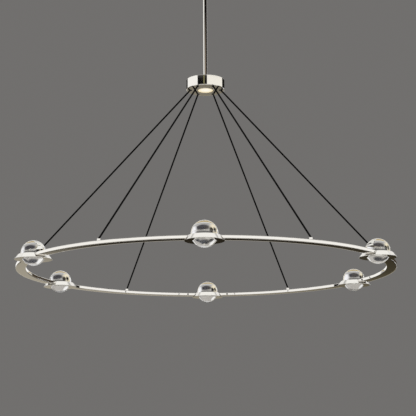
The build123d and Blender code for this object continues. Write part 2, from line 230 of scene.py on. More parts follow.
# black braid: each carrier is a flat bundle of yarns, dull with a soft sheen
braid = {"tones": ((0.0006, 0.0006, 0.0006), (0.003, 0.003, 0.003)), "yarns": 4.0, "fuzz": (2500.0, 3.0),
         "fuzzShare": 0.6, "fade": (9.0, 2.0), "rough": (0.62, 0.86), "relief": (0.5, 0.00015), "gloss": 0.04,
         "sheen": 0.006}


def makeBraid(s):
    shader, where = newFinish("braidedBlack")
    yarn = calc("ABSOLUTE", calc("SINE", times(split(marksUv(shader))["X"], math.pi * s["yarns"])))
    fuzz = noise(where, *s["fuzz"])
    # painted shade: the colour darkens in the grooves between yarns and is lighter on their crowns, with
    # random fuzz and fade in the tone
    grooveShadeAndFuzz = times(yarn, plus(times(fuzz, s["fuzzShare"]), noise(where, *s["fade"])))
    fill(shader, {"Base Color": tint(grooveShadeAndFuzz, *s["tones"]), "Roughness": spread(fuzz, *s["rough"]),
                  "Normal": bump(plus(yarn, fuzz), *s["relief"]), "Specular IOR Level": s["gloss"],
                  "Sheen Weight": s["sheen"]})


# lit opal lens: warm centre, a little amber at the rim, fine moulded rings
opal = {"glows": ((1.0, 0.965, 0.86), (0.92, 0.74, 0.40)), "strength": 0.88, "radius": 0.031, "fall": 3.0,
        "tones": ((0.14, 0.135, 0.12), (0.10, 0.095, 0.085)), "cloud": (90.0, 3.0), "cloudShare": 0.08,
        "rings": 120.0, "rough": (0.3, 0.45), "relief": (0.15, 0.00005)}


def makeOpal(s):
    shader, where = newFinish("litOpal")
    reach = calc("DIVIDE", vecCalc("LENGTH", mapped(where, (1, 1, 0)), output="Value"), s["radius"])
    cloud = noise(where, *s["cloud"])
    far = plus(calc("POWER", reach, s["fall"]), times(cloud, s["cloudShare"]))
    rings = calc("SINE", times(reach, s["rings"]))
    fill(shader, {"Base Color": tint(cloud, *s["tones"]), "Roughness": spread(cloud, *s["rough"]),
                  "Normal": bump(rings, *s["relief"]), "Emission Color": tint(far, *s["glows"]),
                  "Emission Strength": s["strength"]})


# soft silicone seats under the balls; their smoke-grey tone is painted shade for the gap between ball and
# collar
shadedSilicone = {"tones": ((0.16, 0.16, 0.155), (0.11, 0.11, 0.105)), "cloud": (300.0, 3.0), "rough": (0.3, 0.45),
            "relief": (0.1, 0.00005), "ior": 1.41}


def makeShadedSilicone(s):
    shader, where = newFinish("seatSiliconeShade")
    cloud = noise(where, *s["cloud"])
    # the dark grey base colour is painted shade at the joint of ball and collar
    fill(shader, {"Base Color": tint(cloud, *s["tones"]), "Roughness": spread(cloud, *s["rough"]),
                  "Normal": bump(cloud, *s["relief"]), "IOR": s["ior"]})


for plainName, plainSettings in plainFinishes.items():
    makePlain(plainName, *plainSettings)
makeNickel(nickel)
makeCrystal(crystal)
makeBraid(braid)
makeOpal(opal)
makeShadedSilicone(shadedSilicone)
print("finishes made:", len(finishes))


# mesh tools: rounded outlines spun about an axis, all sizes in millimetres
def rounded(corners, hold=0.25, arcSteps=4):
    points = []
    for i, corner in enumerate(corners):
        here = Vector(corner[:2])
        if len(corner) < 3:
            points.append(here)
            continue
        before = (Vector(corners[i - 1][:2]) - here).normalized()
        after = (Vector(corners[(i + 1) % len(corners)][:2]) - here).normalized()
        half = before.angle(after) / 2
        run = corner[2] / math.tan(half)
        middle = here + (before + after).normalized() * corner[2] / math.sin(half)
        first, final = here + before * run, here + after * run
        points.append(first + before * hold)  # holds the flat beside the round
        for k in range(arcSteps + 1):
            arm = (first - middle).lerp(final - middle, k / arcSteps).normalized()
            points.append(middle + arm * corner[2])
        points.append(final + after * hold)
    return points


def tubeCorners(inner, outer, low, top, edge):
    return [(inner, low), (outer, low, edge), (outer, top, edge), (inner, top)]


def hexRadius(radius, turn):
    return radius / math.cos((turn + math.pi / 6) % (math.pi / 3) - math.pi / 6)


def spun(name, outline, steps, closed=True, hexes=(), sharp=crease):
    work = bmesh.new()
    uv = work.loops.layers.uv.new("marks")
    rows, run = [], [0.0]
    for a, b in zip(outline, list(outline[1:]) + [outline[0]]):
        run.append(run[-1] + math.hypot(b[0] - a[0], b[1] - a[1]))
    widest = max(p[0] for p in outline)
    for i, (radius, height) in enumerate(p[:2] for p in outline):
        if radius < 1e-6:  # on the axis
            rows.append([work.verts.new((0, 0, height * mm))] * steps)
            continue
        row = []
        for k in range(steps):
            turn = fullTurn * k / steps
            r = hexRadius(radius, turn) if i in hexes else radius
            row.append(work.verts.new((r * math.cos(turn) * mm, r * math.sin(turn) * mm, height * mm)))
        rows.append(row)
    for i in range(len(rows) if closed else len(rows) - 1):
        low, high = rows[i], rows[(i + 1) % len(rows)]
        for k in range(steps):
            n = (k + 1) % steps
            spots = [(low[k], k, i), (low[n], k + 1, i), (high[n], k + 1, i + 1), (high[k], k, i + 1)]
            unique = [spot for j, spot in enumerate(spots) if spot[0] not in [s[0] for s in spots[:j]]]
            if len(unique) < 3:
                continue
            face = work.faces.new([spot[0] for spot in unique])
            for loop, (_, across, along) in zip(face.loops, unique):
                loop[uv].uv = (fullTurn * widest * across / steps * mm, run[along] * mm)
    bmesh.ops.recalc_face_normals(work, faces=work.faces)
    return meshFrom(name, work, sharp)


def meshFrom(name, work, sharp=crease):
    mesh = bpy.data.meshes.new(name)
    work.to_mesh(mesh)
    work.free()
    smoothShade(mesh, sharp)
    return mesh


def smoothShade(mesh, sharp):
    mesh.polygons.foreach_set("use_smooth", [True] * len(mesh.polygons))
    mesh.set_sharp_from_angle(angle=math.radians(sharp))


def moved(mesh, matrix):
    mesh.transform(matrix)
    return mesh


def onRing(shape):  # a copy at each ball's place
    for number, degrees in enumerate(ballAngles, start=1):
        yield number, moved(shape.copy(), turned(degrees) @ shift(ring["radius"], 0, 0))


def joined(name, meshes):
    work = bmesh.new()
    for mesh in meshes:
        work.from_mesh(mesh)
    return meshFrom(name, work)


def coat(mesh, finish):
    mesh.materials.clear()
    mesh.materials.append(finishes[finish])


def place(name, mesh, node, finish="polishedNickel", body="ring_assembly"):
    piece = inScene(name, mesh)
    coat(mesh, finish)
    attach(piece, body)
    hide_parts(node)
    return piece


def placeSpun(name, corners, steps, node, body="ring_assembly"):
    place(name, spun(name, rounded(corners), steps), node, body=body)


# geometry node tools
def newTree(name, floats, whole):
    tree = bpy.data.node_groups.new(name, "GeometryNodeTree")
    kinds = {"Geometry": "Geometry", **dict.fromkeys(floats, "Float"), **dict.fromkeys(whole, "Int"),
             "Finish": "Material"}
    for label, kind in kinds.items():
        tree.interface.new_socket(label, in_out="INPUT", socket_type="NodeSocket" + kind)
    tree.interface.new_socket("Geometry", in_out="OUTPUT", socket_type="NodeSocketGeometry")
    return tree, addNode(tree, "NodeGroupInput")


def endTree(tree, given, geometry):
    real = geo(tree, "RealizeInstances", {"Geometry": geometry})
    coated = geo(tree, "SetMaterial", {"Geometry": real, "Material": given["Finish"]})
    addNode(tree, "NodeGroupOutput", {0: coated})
    return tree


def grown(name, mesh, tree, finish, sizes):
    holder = inScene(name + ".grow", mesh)
    modifier = holder.modifiers.new("grow", "NODES")
    modifier.node_group = tree
    values = {**sizes, "Finish": finishes[finish]}
    for item in tree.interface.items_tree:
        if item.in_out == "INPUT" and item.name in values:
            modifier[item.identifier] = values[item.name]
    ready = holder.evaluated_get(bpy.context.evaluated_depsgraph_get())
    result = bpy.data.meshes.new_from_object(ready)
    holder.modifiers.remove(modifier)
    bpy.data.objects.remove(holder)
    result.name = name
    return result


# repeats one shape around the vertical axis, singly or in pairs
def makeAroundTree():
    tree, given = newTree("aroundAxis", ["First angle", "Step", "Group angle"], ["Count", "In a group"])
    points = geo(tree, "Points", {"Count": given["Count"]})
    index = geo(tree, "InputIndex")
    group = calc("FLOOR", calc("DIVIDE", index, given["In a group"]))
    side = calc("MULTIPLY_ADD", calc("MODULO", index, given["In a group"]), 2.0, -1.0)
    turn = plus(times(group, given["Step"]), plus(given["First angle"], times(side, given["Group angle"])))
    euler = addNode(tree, "ShaderNodeCombineXYZ", {"Z": calc("RADIANS", turn)})[0]
    rotation = addNode(tree, "FunctionNodeEulerToRotation", {0: euler})[0]
    copies = {"Points": points, "Instance": given["Geometry"], "Rotation": rotation}
    return endTree(tree, given, geo(tree, "InstanceOnPoints", copies))


aroundTree = makeAroundTree()


def around(name, mesh, count, first, finish="polishedNickel", step=None, inGroup=1, groupAngle=0.0):
    sizes = {"Count": count, "First angle": first, "Step": step or 360 / count, "In a group": inGroup,
             "Group angle": groupAngle}
    result = grown(name, mesh, aroundTree, finish, sizes)
    smoothShade(result, crease)
    return result


# cables: straight taut runs from the hub's underside to the ring, in black braid
cableRun = {"diameter": 6.4, "entry": (61.875, 0.0, -518.71), "end": (742.0, 0.0, -1269.21), "resolution": 24,
            "insideHub": 13.198, "insideFerrule": 5.0, "straight": 38.0, "carriers": 4, "pitch": 17.0,
            "strand": 4.6, "weave": 0.14, "crown": 0.16, "stepsPerTurn": 24}


def cableRoute(s, degrees):
    entry, end = Vector(s["entry"]), Vector(s["end"])
    way = (end - entry).normalized()
    first, last = entry - way * s["insideHub"], end + way * s["insideFerrule"]
    stops = [first, first + way * s["straight"], last - way * s["straight"], last]
    curve = bpy.data.curves.new("cableRoute", "CURVE")
    curve.dimensions = "3D"
    spline = curve.splines.new("NURBS")
    spline.points.add(len(stops) - 1)
    for point, stop in zip(spline.points, stops):
        point.co = (*(turned(degrees) @ (stop * mm)), 1)
    spline.order_u = 3
    spline.use_endpoint_u = True
    spline.resolution_u = s["resolution"]
    bare = bpy.data.objects.new("cableRoute", curve)
    mesh = bpy.data.meshes.new_from_object(bare)
    bpy.data.objects.remove(bare)
    return mesh


# flat strips along the route, two sets of helices that pass over and under each other
def makeBraidTree():
    tree, given = newTree("braidOnRoute", ["Radius", "Pitch", "Strand", "Weave", "Crown"],
                          ["Carriers", "Steps"])
    route = geo(tree, "MeshToCurve", {"Mesh": given["Geometry"]})
    length = geo(tree, "CurveLength", {0: route})
    grid = addNode(tree, "GeometryNodeMeshGrid", {"Vertices X": 3, "Vertices Y": given["Steps"]})
    marks = {"Name": "marks", "Geometry": grid["Mesh"], "Value": grid["UV Map"]}
    strip = geo(tree, "StoreNamedAttribute", marks, data_type="FLOAT2", domain="CORNER")
    points = geo(tree, "Points", {"Count": times(given["Carriers"], 2.0)})  # a point numbers each strand
    strands = geo(tree, "InstanceOnPoints", {"Points": points, "Instance": strip})
    numbers = {"Name": "strand", "Geometry": strands, "Value": geo(tree, "InputIndex")}
    numbered = geo(tree, "StoreNamedAttribute", numbers, data_type="INT", domain="INSTANCE")
    real = geo(tree, "RealizeInstances", {"Geometry": numbered})

    strand = geo(tree, "InputNamedAttribute", {"Name": "strand"}, data_type="INT")
    spot = split(geo(tree, "InputPosition"))
    across, along = spot["X"], plus(spot["Y"], 0.5)
    lean = calc("ARCTAN2", times(given["Radius"], fullTurn), given["Pitch"])
    hand = calc("MULTIPLY_ADD", calc("MODULO", strand, 2.0), 2.0, -1.0)
    sideways = times(across, given["Strand"])
    run = calc("SUBTRACT", times(along, length), times(hand, times(sideways, calc("SINE", lean))))
    middle = times(along, calc("DIVIDE", length, given["Pitch"]))
    slot = calc("DIVIDE", calc("FLOOR", calc("DIVIDE", strand, 2.0)), given["Carriers"])
    offset = calc("DIVIDE", times(sideways, calc("COSINE", lean)), given["Radius"])
    angle = plus(times(middle, hand, fullTurn), times(slot, fullTurn), offset)
    wave = times(calc("COSINE", times(middle, given["Carriers"], fullTurn)), times(hand, given["Weave"]))
    hump = times(given["Crown"], calc("SUBTRACT", 1.0, times(across, across, 4.0)))
    out = plus(given["Radius"], plus(wave, hump))
    sample = addNode(tree, "GeometryNodeSampleCurve", {"Curves": route, "Length": run}, mode="LENGTH",
                     use_all_curves=True)
    third = vecCalc("CROSS_PRODUCT", sample["Tangent"], sample["Normal"])
    arm = vecCalc("ADD", scaled(sample["Normal"], calc("COSINE", angle)), scaled(third, calc("SINE", angle)))
    laid = vecCalc("ADD", sample["Position"], scaled(arm, out))
    return endTree(tree, given, geo(tree, "SetPosition", {"Geometry": real, "Position": laid}))


def makeCables(s):
    tree = makeBraidTree()
    for number, degrees in enumerate(cableAngles, start=1):
        route = cableRoute(s, degrees)
        path = [v.co.copy() for v in route.vertices]
        length = sum((b - a).length for a, b in zip(path, path[1:]))
        mesh = grown("cable", route, tree, "braidedBlack", {
            "Radius": s["diameter"] / 2 * mm, "Carriers": s["carriers"], "Pitch": s["pitch"] * mm,
            "Strand": s["strand"] * mm, "Weave": s["weave"] * mm, "Crown": s["crown"] * mm,
            "Steps": int(length / mm / s["pitch"] * s["stepsPerTurn"])})
        smoothShade(mesh, allSmooth)
        piece = place(f"braidedCable_{number}", mesh, f"cable_{number}", "braidedBlack")
        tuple(path[0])
    print("cables laid, each", round(length, 4), "m,", len(mesh.polygons), "faces")


makeCables(cableRun)

# collars: two cones that meet at a sharp edge, the bars run into the upper one
collar = {"edge": 70.5, "foot": 69.7, "top": 57.0, "soft": 0.25, "seat": 49.05, "seatRows": 12, "hold": 0.4,
          "steps": 144}

# ring bars: flat tube with softly broken edges, bent to the ring and coped to the collars' cones
ringBar = {"width": 40.0, "height": 12.0, "edge": 0.8, "edgeSteps": 2, "faceCuts": 7, "endGap": 0.2,
           "steps": 72, "flatFace": 0.7}
barMiddle = (level["barTop"] + level["barLow"]) / 2


def makeBarTree():
    tree, given = newTree("copedBar", ["Ring radius", "Middle height", "Width", "Height", "Edge", "Sweep",
                                       "Start angle", "Collar radius", "Flare"],
                          ["Steps", "Edge steps", "Face cuts"])
    line = geo(tree, "CurvePrimitiveLine", {"End": (0, 0, 1)})
    fine = geo(tree, "ResampleCurve", {"Curve": line, "Count": given["Steps"]})
    section = geo(tree, "CurvePrimitiveQuadrilateral", {"Width": given["Width"], "Height": given["Height"]})
    soft = geo(tree, "FilletCurve", {"Curve": section, "Count": given["Edge steps"], "Radius": given["Edge"]},
               mode="POLY")
    cuts = geo(tree, "SubdivideCurve", {"Curve": soft, "Cuts": given["Face cuts"]})
    skin = geo(tree, "CurveToMesh", {"Curve": fine, "Profile Curve": cuts})

    x, y, z = split(geo(tree, "InputPosition"))
    middle = given["Ring radius"]
    radius = plus(middle, x)
    cone = calc("SUBTRACT", given["Collar radius"], times(y, given["Flare"]))
    rSquare, mSquare, cSquare = (calc("POWER", side, 2.0) for side in (radius, middle, cone))
    squares = calc("SUBTRACT", plus(rSquare, mSquare), cSquare)
    cope = calc("ARCCOSINE", calc("DIVIDE", squares, times(radius, 2.0, middle)))  # where bar meets cone
    sweep = calc("SUBTRACT", given["Sweep"], times(cope, 2.0))
    turn = plus(given["Start angle"], cope, times(z, sweep))
    bent = addNode(tree, "ShaderNodeCombineXYZ", {
        "X": times(radius, calc("COSINE", turn)), "Y": times(radius, calc("SINE", turn)),
        "Z": plus(given["Middle height"], y)})[0]
    return endTree(tree, given, geo(tree, "SetPosition", {"Geometry": skin, "Position": bent}))


def ringMarks(work, flatFace):  # buffing runs along the bar
    uv = work.loops.layers.uv.new("marks")
    for face in work.faces:
        flat = abs(face.normal.z) > flatFace
        start = math.atan2(face.verts[0].co.y, face.verts[0].co.x)
        for loop in face.loops:
            co = loop.vert.co
            turn = math.atan2(co.y, co.x)
            turn += round((start - turn) / fullTurn) * fullTurn
            loop[uv].uv = (turn * ring["radius"] * mm, math.hypot(co.x, co.y) if flat else co.z)


def makeBars(s):
    tree = makeBarTree()
    flare = (collar["edge"] - collar["top"]) / (level["collarTop"] - level["collarEdge"])
    reach = collar["edge"] + s["endGap"] - (barMiddle - level["collarEdge"]) * flare
    for number, degrees in enumerate(ballAngles, start=1):
        mesh = grown("ringBar", bpy.data.meshes.new("empty"), tree, "polishedNickel", {
            "Ring radius": ring["radius"] * mm, "Middle height": barMiddle * mm, "Width": s["width"] * mm,
            "Height": s["height"] * mm, "Edge": s["edge"] * mm, "Collar radius": reach * mm, "Flare": flare,
            "Start angle": math.radians(degrees), "Sweep": math.radians(ring["step"]), "Steps": s["steps"],
            "Edge steps": s["edgeSteps"], "Face cuts": s["faceCuts"]})
        work = bmesh.new()
        work.from_mesh(mesh)
        ends = [edge for edge in work.edges if edge.is_boundary]
        caps = bmesh.ops.holes_fill(work, edges=ends, sides=0)["faces"]
        bmesh.ops.triangulate(work, faces=caps, ngon_method="BEAUTY")
        bmesh.ops.recalc_face_normals(work, faces=work.faces)
        ringMarks(work, s["flatFace"])
        place(f"bentBar_{number}", meshFrom("bentBar", work), f"ring_bar_{number}")
    print("ring bars bent")


makeBars(ringBar)

# soft seats in the collars, and the balls
seatRing = {"inner": 47.8, "outer": 49.0, "lift": 0.8, "height": 7.0, "rows": 6, "steps": 96}
ball = {"radius": 47.5, "steps": 128, "rows": 64}


def seatArc(radius, zLow, zHigh, rows):
    heights = [zLow + (zHigh - zLow) * k / rows for k in range(rows + 1)]
    return [Vector((math.sqrt(radius ** 2 - (z - level["ball"]) ** 2), z)) for z in heights]


def makeCollars(s):
    low, high, soft = level["collarLow"], level["collarTop"], s["soft"]
    seat = seatArc(s["seat"], low, high, s["seatRows"])[::-1]
    lip = math.sqrt(s["seat"] ** 2 - (high - level["ball"]) ** 2)
    outside = rounded([(s["seat"], low), (s["foot"], low, soft), (s["edge"], level["collarEdge"], soft),
                       (s["top"], high, soft), (lip, high)])
    upper, lower = Vector((lip + s["hold"], high)), Vector((seat[-1].x + s["hold"], low))
    outline = [*outside[1:-1], upper, *seat, lower]
    for number, mesh in onRing(spun("collar", outline, s["steps"])):
        place(f"roundCollar_{number}", mesh, f"collar_{number}")


def makeSeats(s):
    low = level["collarLow"] + s["lift"]
    outer, inner = (seatArc(s[side], low, low + s["height"], s["rows"]) for side in ("outer", "inner"))
    shape = moved(spun("seat", outer + inner[::-1], s["steps"]), shift(ring["radius"], 0, 0))
    mesh = around("seatRings", shape, ring["count"], ring["firstBall"], "seatSiliconeShade")
    place("seatRings", mesh, "seat_gaskets", "seatSiliconeShade")


def makeBalls(s):
    outline = []
    for k in range(s["rows"] + 1):
        turn = math.pi * k / s["rows"]
        outline.append(Vector((s["radius"] * math.sin(turn), level["ball"] - s["radius"] * math.cos(turn))))
    shape = spun("ball", outline, s["steps"], closed=False, sharp=allSmooth)
    for number, mesh in onRing(shape):
        place(f"crystalBall_{number}", mesh, f"orb_{number}", "clearCrystal", f"ball_{number}")


makeCollars(collar)
makeSeats(seatRing)
makeBalls(ball)
print("collars and balls made")

# screws at the bar ends: round heads with hexagon sockets
barScrew = {"head": 7.0, "height": 2.2, "socket": 2.5, "depth": 1.2, "chord": 94.0, "inner": 722.0}
screwHead = {"drillTip": 0.3, "soft": (0.1, 0.35), "steps": 24,  # the dome in shares of radius and height
             "dome": [(1.0, 0.0), (1.0, 0.55), (0.94, 0.8), (0.8, 0.94), (0.62, 1.0)]}


def socketHead(name, s, domed):
    top, r, socket, floor = s["height"], s["head"] / 2, s["socket"] / 2, s["height"] - s["depth"]
    near, far = screwHead["soft"]
    outline = [(r, 0.0), (r, top - far), (r - near, top - near), (r - far, top)]
    if domed:
        outline = [(r * out, top * up) for out, up in screwHead["dome"]]
    hexes = (len(outline), len(outline) + 1)
    outline += [(socket, top), (socket, floor), (0.0, floor - screwHead["drillTip"])]
    return spun(name, outline, screwHead["steps"], closed=False, hexes=hexes)


def makeBarScrews(s):
    lean = math.degrees(2 * math.asin(s["chord"] / 2 / ring["radius"]))
    head = moved(socketHead("barScrew", s, False), shift(s["inner"], 0, barMiddle) @ turned(-90, "Y"))
    mesh = around("barScrews", head, 2 * ring["count"], ring["firstBall"], "blackedSteel", ring["step"],
                  inGroup=2, groupAngle=lean)
    place("barScrews", mesh, "joint_screws", "blackedSteel")


makeBarScrews(barScrew)

# ferrules on the bars and the ball-shaped cable entries in the hub
ferrule = {"radius": 6.5, "height": 10.5, "foot": 0.3, "edge": 1.0, "groove": 0.35, "soft": 0.1, "hold": 0.05,
           "grooveAt": (2.4, 2.6, 3.1, 3.3), "steps": 48}
cableEntry = {"radius": 6.59, "flat": 5.198, "bore": 3.25, "lead": 0.6, "rows": 16, "steps": 40}


def makeFerrules(s):
    low, top, r = level["barTop"], level["barTop"] + s["height"], s["radius"]
    depths = (0.0, s["groove"], s["groove"], 0.0)
    groove = [(r - depth, low + z, s["soft"]) for z, depth in zip(s["grooveAt"], depths)]
    outline = rounded([(0.0, low), (r, low, s["foot"]), *groove, (r, top, s["edge"]), (0.0, top)], s["hold"])
    shape = moved(spun("ferrule", outline, s["steps"], closed=False), shift(ring["radius"], 0, 0))
    mesh = around("ferrules", shape, ring["count"], cableAngles[0])
    place("cableFerrules", mesh, "cable_ferrules")


def makeEntries(s):
    start, stop = math.acos(s["flat"] / s["radius"]), math.pi - math.asin(s["bore"] / s["radius"])
    turns = [start + (stop - start) * k / s["rows"] for k in range(s["rows"] + 1)]
    outline = [Vector((s["radius"] * math.sin(t), -s["radius"] * math.cos(t))) for t in turns]  # hub end low
    outline += [Vector((s["bore"], outline[-1].y - s["lead"])), Vector((s["bore"], outline[0].y))]
    aim = (Vector(cableRun["end"]) - Vector(cableRun["entry"])).to_track_quat("Z", "Y").to_matrix().to_4x4()
    shape = moved(spun("entry", outline, s["steps"]), shift(*cableRun["entry"]) @ aim)
    mesh = around("cableEntries", shape, ring["count"], cableAngles[0], "entryNylon")
    place("cableEntries", mesh, "cable_bushings", "entryNylon")


makeFerrules(ferrule)
makeEntries(cableEntry)
print("ferrules and cable entries made")

# hub drum with its plate, bezel, lens and top screws
hub = {"radius": 79.375, "wall": 3.0, "bevel": 1.5, "edge": 1.0, "soft": 0.25, "plate": 4.0, "plateEdge": 0.3,
       "gap": 0.1, "bore": 8.1, "steps": 160}
downlight = {"view": 31.0, "sleeveIn": 32.1, "sleeve": 34.1, "flange": 36.6, "flangeHeight": 1.2,
             "innerEdge": 0.35, "outerEdge": 0.5, "depth": 6.0, "lens": 32.0, "lensHeight": 3.0, "steps": 128,
             "crown": [(0.0, 0.45), (10.0, 0.4), (20.0, 0.25), (28.0, 0.1), (32.0, 0.02)]}
hubScrew = {"head": 7.5, "height": 2.4, "socket": 2.5, "depth": 1.3, "radius": 58.375, "first": 30.0,
            "count": 3}


def makeHub(s):
    low, top, r, bore = level["hubLow"], level["hubTop"], s["radius"], s["bore"]
    inside, under = r - s["wall"], top - s["wall"]
    placeSpun("hubDrum", [(bore, top), (r, top, s["edge"]), (r, low + s["bevel"], s["soft"]),
                          (r - s["bevel"], low, s["soft"]), (inside, low), (inside, under), (bore, under)],
              s["steps"], "hub_shell")
    inner, outer, over = downlight["sleeve"] + s["gap"], inside - s["gap"], low + s["plate"]
    plate = [(inner, low), (outer, low, s["plateEdge"]), (outer, over), (inner, over)]
    placeSpun("hubPlate", plate, s["steps"], "hub_bottom_plate")


def makeDownlight(s):
    low, top, foot = level["hubLow"], level["hubLow"] + s["depth"], level["hubLow"] - s["flangeHeight"]
    placeSpun("lensBezel", [(s["view"], foot, s["innerEdge"]), (s["flange"], foot, s["outerEdge"]),
                            (s["flange"], low), (s["sleeve"], low), (s["sleeve"], top), (s["sleeveIn"], top),
                            (s["sleeveIn"], low), (s["view"], low)], s["steps"], "downlight_bezel")
    lens = [(radius, low + rise) for radius, rise in s["crown"]]
    lens += [(s["lens"], low + s["lensHeight"]), (0.0, low + s["lensHeight"])]
    place("litLens", spun("litLens", lens, s["steps"], closed=False), "downlight_lens", "litOpal")


def makeHubScrews(s):
    head = moved(socketHead("hubScrew", s, True), shift(s["radius"], 0, level["hubTop"]))
    place("hubScrews", around("hubScrews", head, s["count"], s["first"]), "hub_screws")


makeHub(hub)
makeDownlight(downlight)
makeHubScrews(hubScrew)
print("hub made")

# stem, swivel and canopy
stem = {"radius": 8.0, "inner": 6.5, "edge": 0.4, "steps": 64}
canopy = {"radius": 76.0, "wall": 1.5, "edge": 6.0, "lip": 0.3, "bore": 5.3, "steps": 160}
ringNut = {"radius": 16.0, "bore": 5.05, "edge": 1.2, "steps": 72, "ridges": 72, "ridge": 0.35, "sunk": 0.2,
           "ridgeShare": 0.8, "ridgeEnd": 1.6, "ridgeFull": 2.0}
swivel = {"baseRadius": 15.707, "bore": 5.05, "baseEdge": 0.8, "steps": 72, "earIn": 9.5, "earOut": 13.5,
          "earWidth": 14.0, "earRoot": 1.0, "earSteps": 20, "edge": 0.6, "rimAngle": 1.2, "bevelSteps": 3,
          "block": (18.0, 18.0, 16.0), "blockEdge": 0.9, "pin": 3.0, "pinIn": 4.0, "pinOut": 0.6,
          "pinEdge": 0.5, "pinSteps": 32, "flatFace": 0.6}
swivelNut = {"flats": 15.0, "bore": 5.05, "height": 5.0, "hold": 0.5, "lead": 0.4, "steps": 48}


def makeStem(s):
    corners = tubeCorners(s["inner"], s["radius"], level["stemLow"], level["stemTop"], s["edge"])
    placeSpun("stemTube", corners, s["steps"], "stem_tube")


def makeCanopy(s):
    low, r, wall, lip, bore = level["canopyLow"], s["radius"], s["wall"], s["lip"], s["bore"]
    corners = [(bore, low), (r, low, s["edge"]), (r, 0.0, lip), (r - wall, 0.0, lip),
               (r - wall, low + wall, s["edge"] - wall), (bore, low + wall)]
    placeSpun("canopyCover", corners, s["steps"], "canopy_cover", "ceiling_mount")


def makeRingNut(s):
    low, top, r = level["forkTop"], level["canopyLow"], s["radius"]
    body = spun("ringNut", rounded(tubeCorners(s["bore"], r, low, top, s["edge"])), s["steps"])
    work = bmesh.new()
    half, root = math.pi * r / s["ridges"] * s["ridgeShare"], r - s["sunk"]
    for z, out in ((low + s["ridgeEnd"], 0.0), (low + s["ridgeFull"], s["ridge"]),
                   (top - s["ridgeFull"], s["ridge"]), (top - s["ridgeEnd"], 0.0)):
        for x, y in ((root, -half), (r + out, 0.0), (root, half)):
            work.verts.new((x * mm, y * mm, z * mm))
    work.verts.ensure_lookup_table()
    for k in (0, 1, 3, 4, 6, 7):  # two faces between each row of three points and the next
        work.faces.new([work.verts[i] for i in (k, k + 1, k + 4, k + 3)])
    bmesh.ops.recalc_face_normals(work, faces=work.faces)
    ridges = around("ridges", meshFrom("ridge", work), s["ridges"], 0.0)
    place("canopyRingNut", joined("ringNut", [body, ridges]), "canopy_ring_nut", body="ceiling_mount")


def swivelBase(s, low, top):
    return spun("base", rounded(tubeCorners(s["bore"], s["baseRadius"], low, top, s["baseEdge"])), s["steps"])


def swivelEars(s, zRoot):
    work = bmesh.new()
    pivot, half = level["pivot"], s["earWidth"] / 2
    up = 1 if pivot > zRoot else -1
    foot = zRoot - up * s["earRoot"]
    turns = [math.pi * k / s["earSteps"] for k in range(s["earSteps"] + 1)]
    arc = [(-half * math.cos(turn), pivot + up * half * math.sin(turn)) for turn in turns]
    for x in (-s["earOut"], s["earIn"]):
        outline = [(-half, foot), *arc, (half, foot)]
        face = work.faces.new([work.verts.new((x * mm, y * mm, z * mm)) for y, z in outline])
        pulled = bmesh.ops.extrude_face_region(work, geom=[face])["geom"]
        verts = [part for part in pulled if isinstance(part, bmesh.types.BMVert)]
        bmesh.ops.translate(work, verts=verts, vec=((s["earOut"] - s["earIn"]) * mm, 0, 0))
    bmesh.ops.recalc_face_normals(work, faces=work.faces)
    rims = [e for e in work.edges if len(e.link_faces) == 2 and e.calc_face_angle() > s["rimAngle"]]
    softened(work, rims, s["edge"], s)
    return meshFrom("ears", work)


def softened(work, edges, width, s):
    bmesh.ops.bevel(work, geom=edges, offset=width * mm, segments=s["bevelSteps"], affect="EDGES",
                    profile=0.5)
    uv = work.loops.layers.uv.new("marks")
    for face in work.faces:  # buffing runs along each flat face
        facesX, facesY = (abs(part) > s["flatFace"] for part in face.normal.xy)
        for loop in face.loops:
            co = loop.vert.co
            loop[uv].uv = co.yz if facesX else co.xz if facesY else co.xy


def makeSwivel(s):
    fork = [swivelBase(s, level["forkLow"], level["forkTop"]), swivelEars(s, level["forkLow"])]
    place("swivelFork", joined("fork", fork), "swivel_fork", body="ceiling_mount")
    ears = moved(swivelEars(s, level["yokeTop"]), turned(90))
    yoke = [swivelBase(s, level["yokeLow"], level["yokeTop"]), ears]
    place("swivelYoke", joined("yoke", yoke), "swivel_yoke", body="swivel_hanger")
    work = bmesh.new()
    bmesh.ops.create_cube(work, size=1.0)
    bmesh.ops.scale(work, vec=Vector(s["block"]) * mm, verts=work.verts)
    bmesh.ops.translate(work, vec=(0, 0, level["pivot"] * mm), verts=work.verts)
    softened(work, work.edges[:], s["blockEdge"], s)
    place("swivelBlock", meshFrom("block", work), "swivel_block", body="swivel_cross")
    end = s["earOut"] + s["pinOut"]
    outline = rounded([(0.0, s["pinIn"]), (s["pin"], s["pinIn"]), (s["pin"], end, s["pinEdge"]), (0.0, end)])
    pin = spun("pin", outline, s["pinSteps"], closed=False)
    pin = moved(pin, shift(0, 0, level["pivot"]) @ turned(90, "Y"))
    for name, first, node in (("upperPins", 0.0, "upper_pins"), ("lowerPins", 90.0, "lower_pins")):
        place(name, around(name, pin, 2, first, "platedSteel"), node, "platedSteel", "swivel_cross")


def makeSwivelNut(s):
    low, top, r, bore = level["yokeTop"], level["yokeTop"] + s["height"], s["flats"] / 2, s["bore"]
    outline = [(bore, low), (r, low), (r, low + s["hold"]), (r, top - s["hold"]), (r, top),
               (bore + s["lead"], top), (bore, top - s["lead"])]
    place("swivelNut", spun("swivelNut", outline, s["steps"], hexes=(2, 3)), "swivel_nut", "platedSteel")


makeStem(stem)
makeCanopy(canopy)
makeRingNut(ringNut)
makeSwivel(swivel)
makeSwivelNut(swivelNut)
print("stem, swivel and canopy made")

